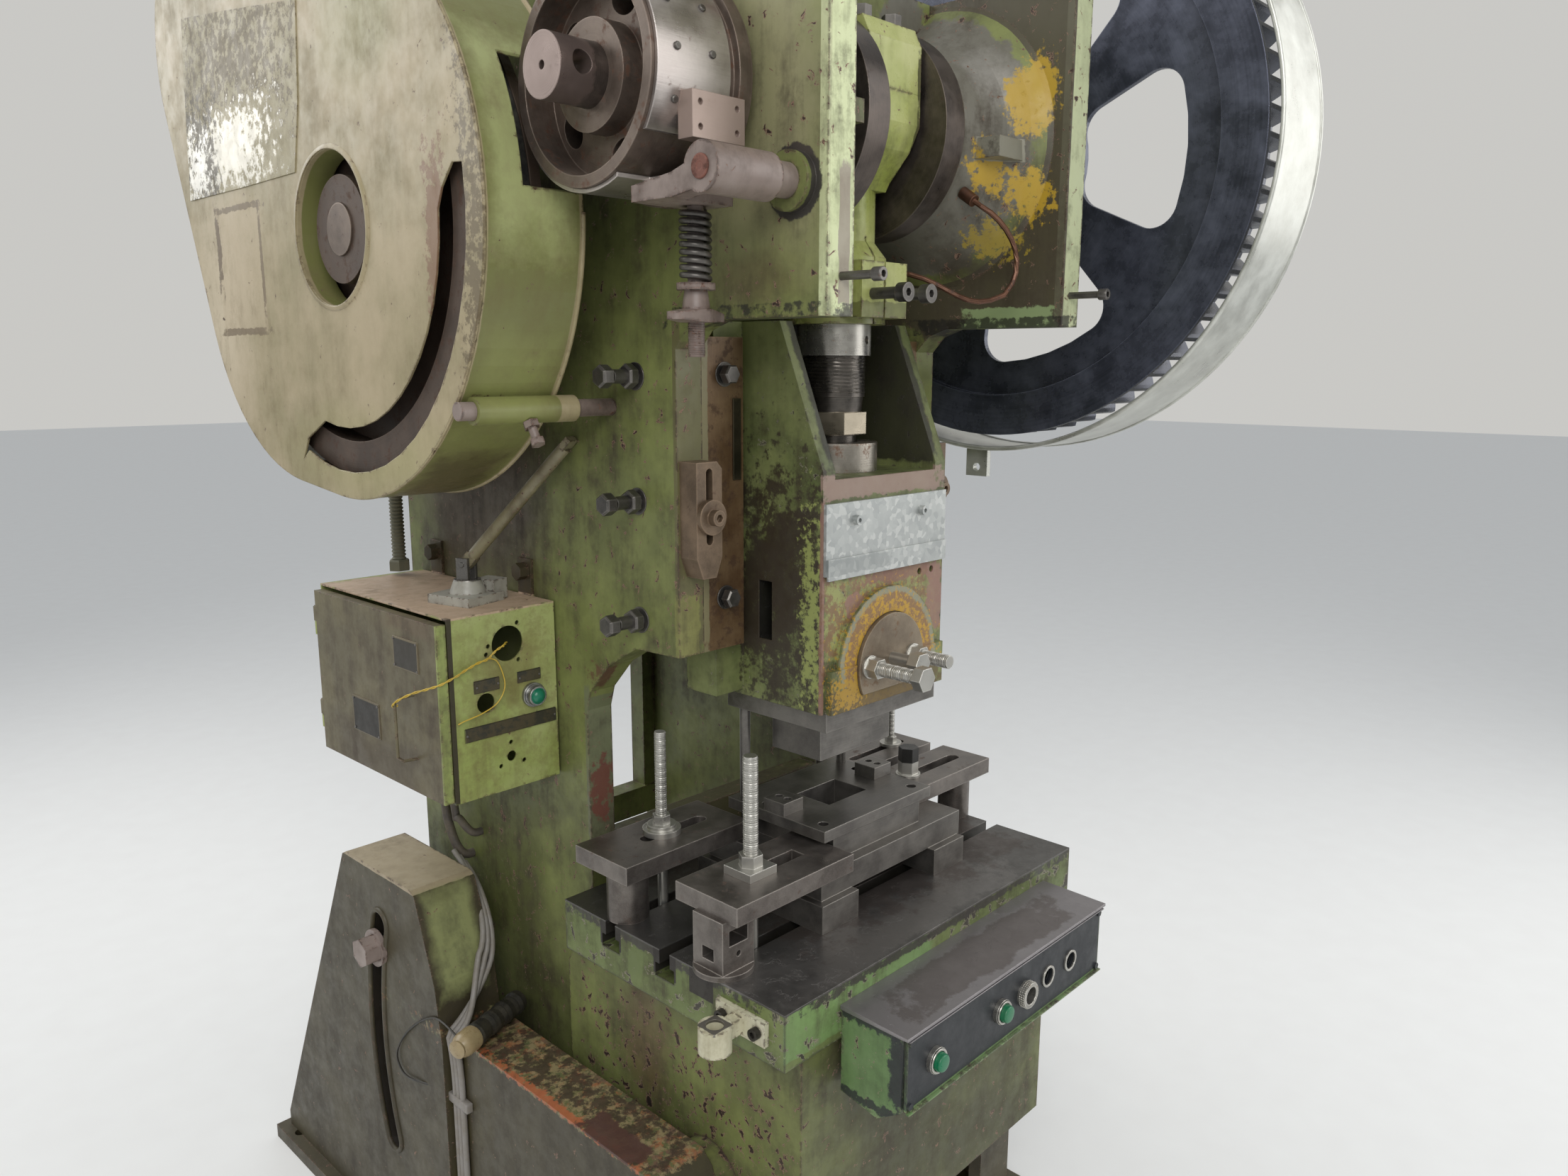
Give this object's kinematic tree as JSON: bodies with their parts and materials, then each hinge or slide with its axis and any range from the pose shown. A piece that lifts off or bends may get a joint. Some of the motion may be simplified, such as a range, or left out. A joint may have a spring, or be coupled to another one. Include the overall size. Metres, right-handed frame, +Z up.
{
  "type": "mechanical stamping press",
  "caption": "Open-back inclinable crank press with cast frame, T-slot table and die set, slide, bull gear, belt guard, brake, side cabinet and two-hand control box.",
  "frame": {"origin": "centre of the machine's overall footprint at floor level", "axes": "+X to the operator's right, +Y to the back of the press, +Z up"},
  "size_m": [1.082, 1.585, 2.394],
  "materials": {
    "left_leg": "worn satin paint with grime and chips",
    "right_leg": "worn satin paint with grime and chips",
    "tie_bars": "worn satin paint with grime and chips",
    "pivot_pins": "dark machined steel with an oil film",
    "lock_bolts": "dark machined steel with an oil film",
    "frame_casting": "worn satin paint with grime and chips",
    "bolster": "dark machined steel with an oil film",
    "gib_plates": "dark machined steel with an oil film",
    "gib_liners": "dark machined steel with an oil film",
    "gib_bolts": "dark machined steel with an oil film",
    "scale_plate": "dark machined steel with an oil film",
    "stop_straps": "dark machined steel with an oil film",
    "stop_screws": "dark machined steel with an oil film",
    "crank_bushes": "oily bronze",
    "crankshaft": "dark machined steel with an oil film",
    "crank_plug": "dark machined steel with an oil film",
    "conrod": "worn satin paint with grime and chips",
    "conrod_cap": "worn satin paint with grime and chips",
    "clamp_screws": "dark machined steel with an oil film",
    "lock_collar": "dark machined steel with an oil film",
    "ball_screw": "dark machined steel with an oil film",
    "brake_drum": "worn satin paint with grime and chips",
    "brake_band": "dark machined steel with an oil film",
    "brake_lever": "worn satin paint with grime and chips",
    "brake_spring": "dark machined steel with an oil film",
    "spring_rod": "dark machined steel with an oil film",
    "bull_gear": "worn satin paint with grime and chips",
    "gear_guard": "worn satin paint with grime and chips",
    "pinion_shaft": "dark machined steel with an oil film",
    "flywheel": "worn satin paint with grime and chips",
    "belts": "matt, dusty",
    "belt_guard": "worn satin paint with grime and chips",
    "guard_rods": "dark machined steel with an oil film",
    "motor": "worn satin paint with grime and chips",
    "motor_pulley": "dark machined steel with an oil film",
    "slide": "worn satin paint with grime and chips",
    "ball_cap": "dark machined steel with an oil film",
    "cover_plate": "dark machined steel with an oil film",
    "shank_cap": "dark machined steel with an oil film",
    "cap_studs": "dark machined steel with an oil film",
    "upper_die": "dark machined steel with an oil film",
    "lower_die": "dark machined steel with an oil film",
    "locators": "dark machined steel with an oil film",
    "straps": "dark machined steel with an oil film",
    "strap_studs": "dark machined steel with an oil film",
    "heels": "dark machined steel with an oil film",
    "ring_bracket": "worn satin paint with grime and chips",
    "cabinet_body": "worn satin paint with grime and chips",
    "cabinet_door": "worn satin paint with grime and chips",
    "pilot_lamp": "dark green plastic",
    "lamp_base": "worn satin paint with grime and chips",
    "lamp_arm": "worn satin paint with grime and chips",
    "conduit": "ribbed, dusty",
    "cables": "matt, dusty",
    "splice": "matt, dusty",
    "control_box": "worn satin paint with grime and chips",
    "button_left": "dark green plastic",
    "button_mid": "dark green plastic",
    "box_rings": "dark machined steel with an oil film",
    "oil_pipe": "dull copper"
  },
  "bodies": {
    "base": {"left_leg": "left_leg", "right_leg": "right_leg", "tie_bars": "tie_bars", "pivot_pins": "pivot_pins", "splice": "splice"},
    "frame": {"lock_bolts": "lock_bolts", "frame_casting": "frame_casting", "bolster": "bolster", "gib_plates": "gib_plates", "gib_liners": "gib_liners", "gib_bolts": "gib_bolts", "scale_plate": "scale_plate", "stop_straps": "stop_straps", "stop_screws": "stop_screws", "crank_bushes": "crank_bushes", "brake_band": "brake_band", "brake_lever": "brake_lever", "brake_spring": "brake_spring", "spring_rod": "spring_rod", "gear_guard": "gear_guard", "belts": "belts", "belt_guard": "belt_guard", "guard_rods": "guard_rods", "motor": "motor", "lower_die": "lower_die", "locators": "locators", "straps": "straps", "strap_studs": "strap_studs", "heels": "heels", "ring_bracket": "ring_bracket", "cabinet_body": "cabinet_body", "pilot_lamp": "pilot_lamp", "lamp_base": "lamp_base", "conduit": "conduit", "cables": "cables", "control_box": "control_box", "box_rings": "box_rings", "oil_pipe": "oil_pipe"},
    "crank": {"crankshaft": "crankshaft", "brake_drum": "brake_drum", "bull_gear": "bull_gear"},
    "plug": {"crank_plug": "crank_plug"},
    "rod": {"conrod": "conrod", "conrod_cap": "conrod_cap", "clamp_screws": "clamp_screws", "lock_collar": "lock_collar"},
    "slide": {"slide": "slide", "ball_cap": "ball_cap", "cover_plate": "cover_plate", "shank_cap": "shank_cap", "cap_studs": "cap_studs", "upper_die": "upper_die"},
    "screw": {"ball_screw": "ball_screw"},
    "pinion": {"pinion_shaft": "pinion_shaft", "flywheel": "flywheel"},
    "motor_rotor": {"motor_pulley": "motor_pulley"},
    "door": {"cabinet_door": "cabinet_door"},
    "arm": {"lamp_arm": "lamp_arm"},
    "left_button": {"button_left": "button_left"},
    "mid_button": {"button_mid": "button_mid"}
  },
  "joints": [
    {"name": "frame_tilt", "type": "hinge", "parent": "base", "child": "frame", "pos_m": [-0.015, -0.3685, 0.445], "axis": [1, 0, 0], "range_deg": [-15, 0]},
    {"name": "crank_turn", "type": "hinge", "parent": "frame", "child": "crank", "pos_m": [-0.015, -0.3225, 1.924], "axis": [1, 0, 0], "continuous": true},
    {"name": "plug_turn", "type": "hinge", "parent": "crank", "child": "plug", "pos_m": [-0.015, -0.3225, 1.944], "axis": [1, 0, 0], "continuous": true},
    {"name": "rod_turn", "type": "hinge", "parent": "plug", "child": "rod", "pos_m": [-0.015, -0.3225, 1.964], "axis": [1, 0, 0], "continuous": true},
    {"name": "slide_adjust", "type": "slide", "parent": "rod", "child": "slide", "axis": [0, 0, 1], "range_m": [0, 0.05]},
    {"name": "screw_turn", "type": "hinge", "parent": "slide", "child": "screw", "pos_m": [-0.015, -0.3225, 1.52], "axis": [0, 0, 1], "range_deg": [-10, 3010]},
    {"name": "pinion_turn", "type": "hinge", "parent": "frame", "child": "pinion", "pos_m": [-0.015, 0.16173, 1.78423], "axis": [1, 0, 0], "continuous": true},
    {"name": "motor_turn", "type": "hinge", "parent": "frame", "child": "motor_rotor", "pos_m": [-0.465, 0.5025, 2.099], "axis": [1, 0, 0], "continuous": true},
    {"name": "door_open", "type": "hinge", "parent": "frame", "child": "door", "pos_m": [-0.495, 0.3865, 1.101], "axis": [0, 0, -1], "range_deg": [0, 110]},
    {"name": "lamp_tilt", "type": "hinge", "parent": "frame", "child": "arm", "pos_m": [-0.393, 0.0875, 1.299], "axis": [0.9033, 0.4289, 0], "range_deg": [-20, 0]},
    {"name": "press_left", "type": "slide", "parent": "frame", "child": "left_button", "axis": [0, 1, 0], "range_m": [0, 0.005], "stiffness_N_per_m": 800, "springref_m": -0.003},
    {"name": "press_mid", "type": "slide", "parent": "frame", "child": "mid_button", "axis": [0, 1, 0], "range_m": [0, 0.005], "stiffness_N_per_m": 800, "springref_m": -0.003}
  ],
  "couplings": [
    {"joint": "plug_turn", "follows": "crank_turn", "ratio": -2},
    {"joint": "rod_turn", "follows": "crank_turn", "ratio": 1},
    {"joint": "pinion_turn", "follows": "crank_turn", "ratio": -6},
    {"joint": "motor_turn", "follows": "crank_turn", "ratio": -21.789},
    {"joint": "screw_turn", "follows": "slide_adjust", "rad_per_m": 1047.2}
  ]
}
